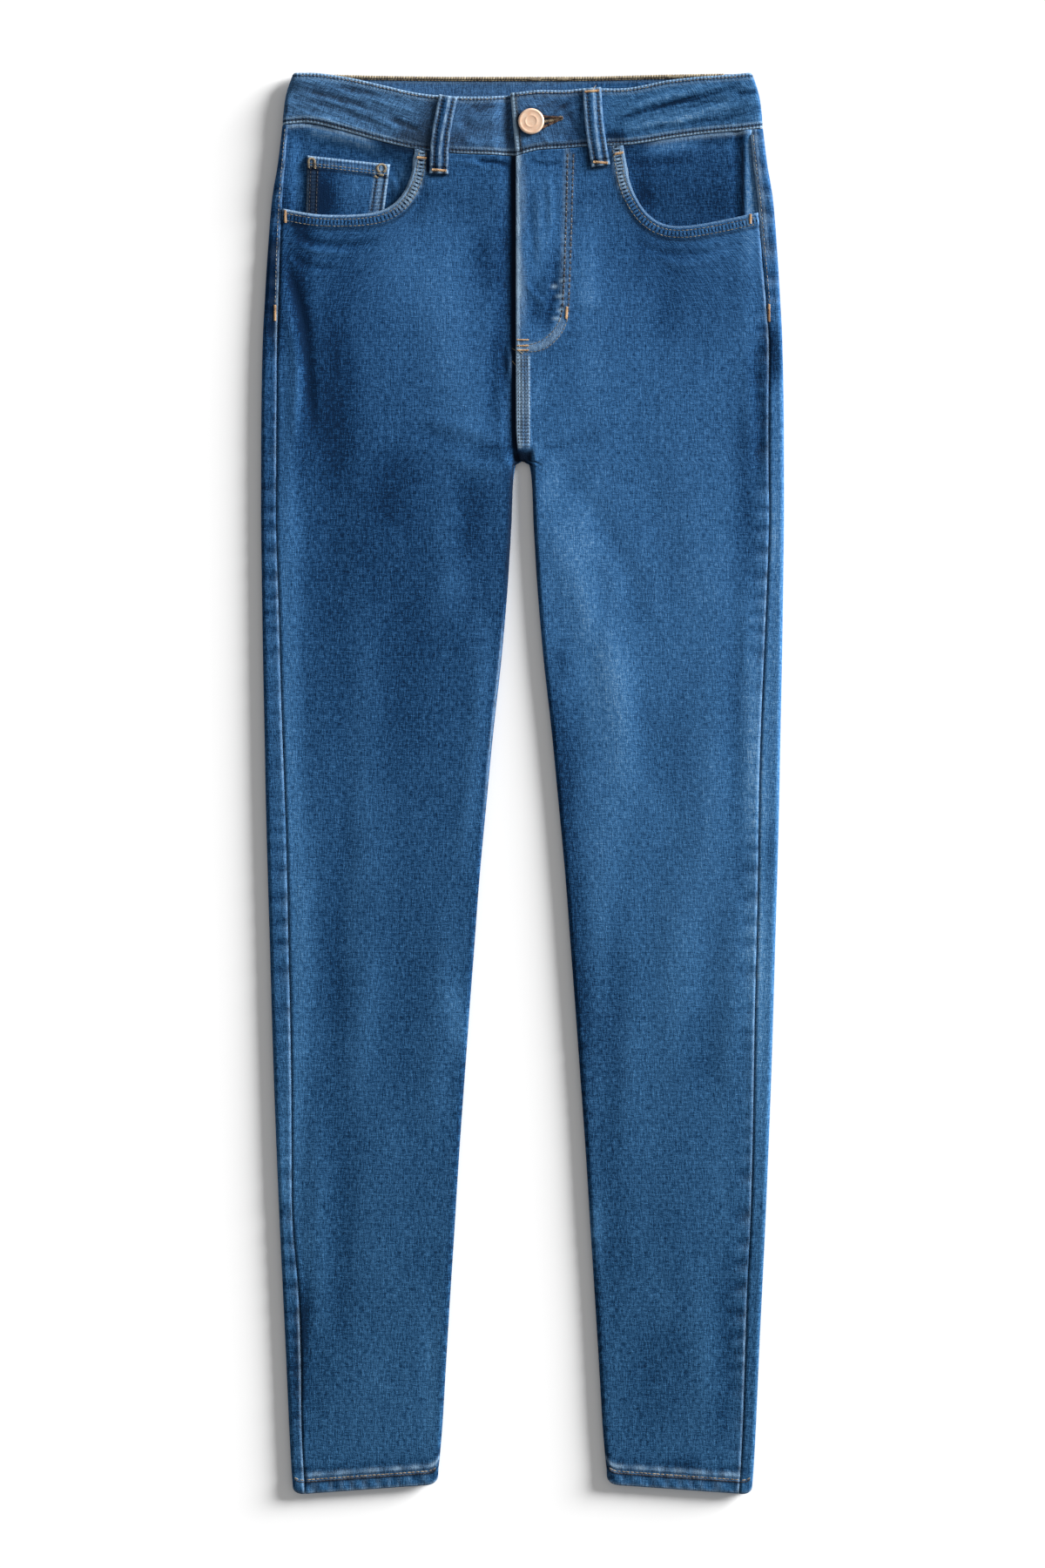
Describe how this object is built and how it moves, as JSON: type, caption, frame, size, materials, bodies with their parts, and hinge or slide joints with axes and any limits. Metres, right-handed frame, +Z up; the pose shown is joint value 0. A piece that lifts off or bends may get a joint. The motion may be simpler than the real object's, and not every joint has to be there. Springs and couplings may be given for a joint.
{
  "type": "skinny jeans laid flat",
  "caption": "High-waisted skinny jeans in mid-blue stretch denim, lying flat with the front up and the fly buttoned, with scooped front pockets, a coin pocket and belt loops",
  "frame": {"origin": "centre of the flattened garment's box, on the surface it lies on", "axes": "+X to the wearer's left, +Y along the legs up to the waist, +Z up out of the front"},
  "size_m": [0.3752, 1.02, 0.0108],
  "materials": {
    "denim": "washed blue stretch denim, fine uneven twill",
    "thread": "golden tan and orange sewing thread, matt",
    "button_metal": "polished copper-coloured metal"
  },
  "bodies": {
    "root": {"front_right": "denim", "front_left": "denim", "back_right": "denim", "back_left": "denim", "waistband": "denim", "pocket_facing_right": "denim", "pocket_facing_left": "denim", "coin_pocket": "denim", "belt_loop_front_right": "denim", "belt_loop_front_left": "denim", "belt_loop_back_right": "denim", "belt_loop_back_centre": "denim", "belt_loop_back_left": "denim", "button": "button_metal"}
  },
  "joints": []
}
